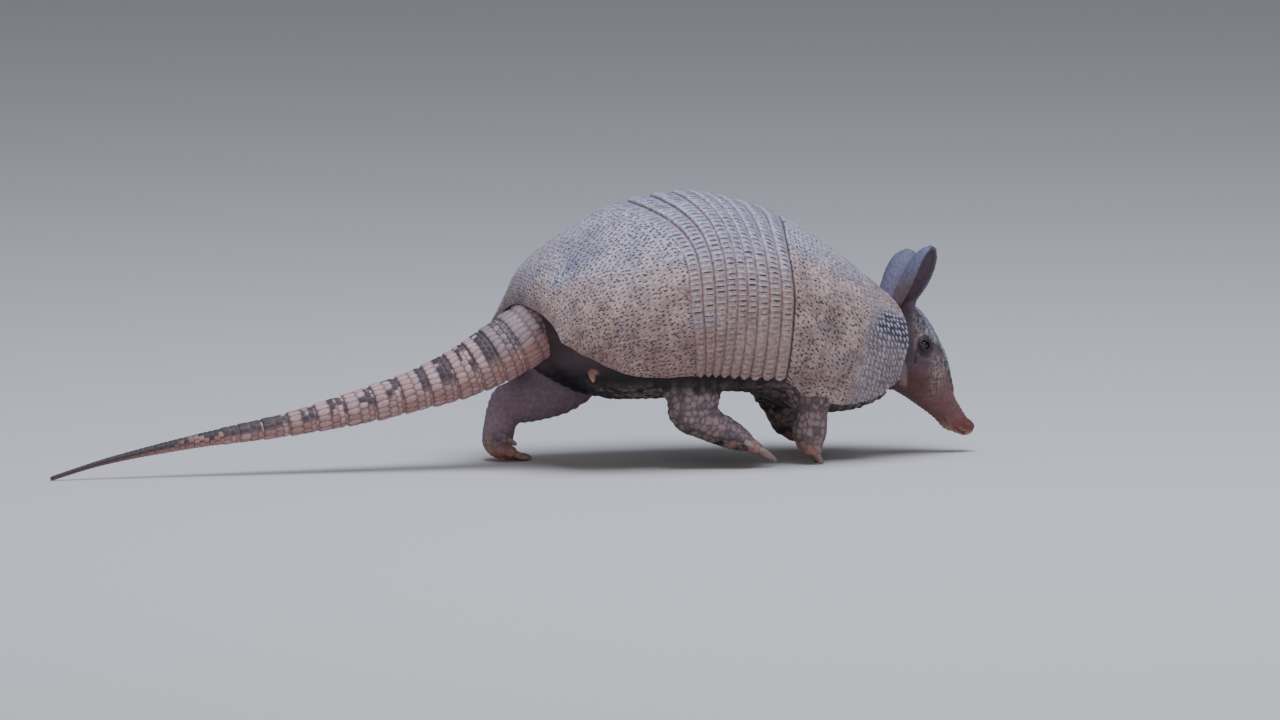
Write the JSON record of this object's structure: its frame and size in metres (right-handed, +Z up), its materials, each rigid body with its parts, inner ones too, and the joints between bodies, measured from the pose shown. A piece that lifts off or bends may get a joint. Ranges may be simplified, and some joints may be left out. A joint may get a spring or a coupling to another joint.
{
  "type": "nine-banded armadillo, life-size still model",
  "caption": "Life-size still model of a walking nine-banded armadillo: domed bony shell with jointed bands, ringed tapering tail, long snout, upright ears and clawed feet, one hind foot lifted.",
  "frame": {"origin": "centre of the bounding box at the floor the animal stands on", "axes": "+X is the way the animal faces, +Y its left side, +Z up"},
  "size_m": [0.6706, 0.154, 0.1904],
  "materials": {
    "shell_scutes": "matt pinkish brown horn-covered bone scutes with dark pits",
    "head_scutes": "matt dark scutes with pale edges",
    "tail_scutes": "matt pink ridged scutes with dark blotches",
    "tail_tip_scales": "matt dark small scales",
    "belly_skin": "dull dark purplish brown wrinkled skin",
    "leg_skin": "dull dark skin with low tan scales",
    "face_skin": "dull reddish wrinkled skin",
    "ear_skin": "dull granular purplish grey skin",
    "claw_horn": "satin pale horn",
    "eye": "wet glossy black"
  },
  "bodies": {
    "root": {"shoulder_shield": "shell_scutes", "pelvic_shield": "shell_scutes", "band_1": "shell_scutes", "band_2": "shell_scutes", "band_3": "shell_scutes", "band_4": "shell_scutes", "band_5": "shell_scutes", "band_6": "shell_scutes", "band_7": "shell_scutes", "band_8": "shell_scutes", "band_9": "shell_scutes", "trunk": "belly_skin", "hind_leg_right": "leg_skin", "hind_foot_right": "leg_skin", "claw_hind_right_1": "claw_horn", "claw_hind_right_2": "claw_horn", "claw_hind_right_3": "claw_horn", "claw_hind_right_4": "claw_horn", "claw_hind_right_5": "claw_horn", "hind_leg_left": "leg_skin", "hind_foot_left": "leg_skin", "claw_hind_left_1": "claw_horn", "claw_hind_left_2": "claw_horn", "claw_hind_left_3": "claw_horn", "claw_hind_left_4": "claw_horn", "claw_hind_left_5": "claw_horn", "front_leg_right": "leg_skin", "front_foot_right": "leg_skin", "claw_front_right_1": "claw_horn", "claw_front_right_2": "claw_horn", "claw_front_right_3": "claw_horn", "claw_front_right_4": "claw_horn", "front_leg_left": "leg_skin", "front_foot_left": "leg_skin", "claw_front_left_1": "claw_horn", "claw_front_left_2": "claw_horn", "claw_front_left_3": "claw_horn", "claw_front_left_4": "claw_horn", "neck": "face_skin", "head_shield": "head_scutes", "ear_left": "ear_skin", "eye_left": "eye", "ear_right": "ear_skin", "eye_right": "eye", "head": "face_skin", "tail_base": "belly_skin", "tail_ring_1": "tail_scutes", "tail_ring_2": "tail_scutes", "tail_ring_3": "tail_scutes", "tail_ring_4": "tail_scutes", "tail_ring_5": "tail_scutes", "tail_ring_6": "tail_scutes", "tail_ring_7": "tail_scutes", "tail_ring_8": "tail_scutes", "tail_ring_9": "tail_scutes", "tail_ring_10": "tail_scutes", "tail_ring_11": "tail_scutes", "tail_ring_12": "tail_scutes", "tail_tip": "tail_tip_scales"}
  },
  "joints": []
}
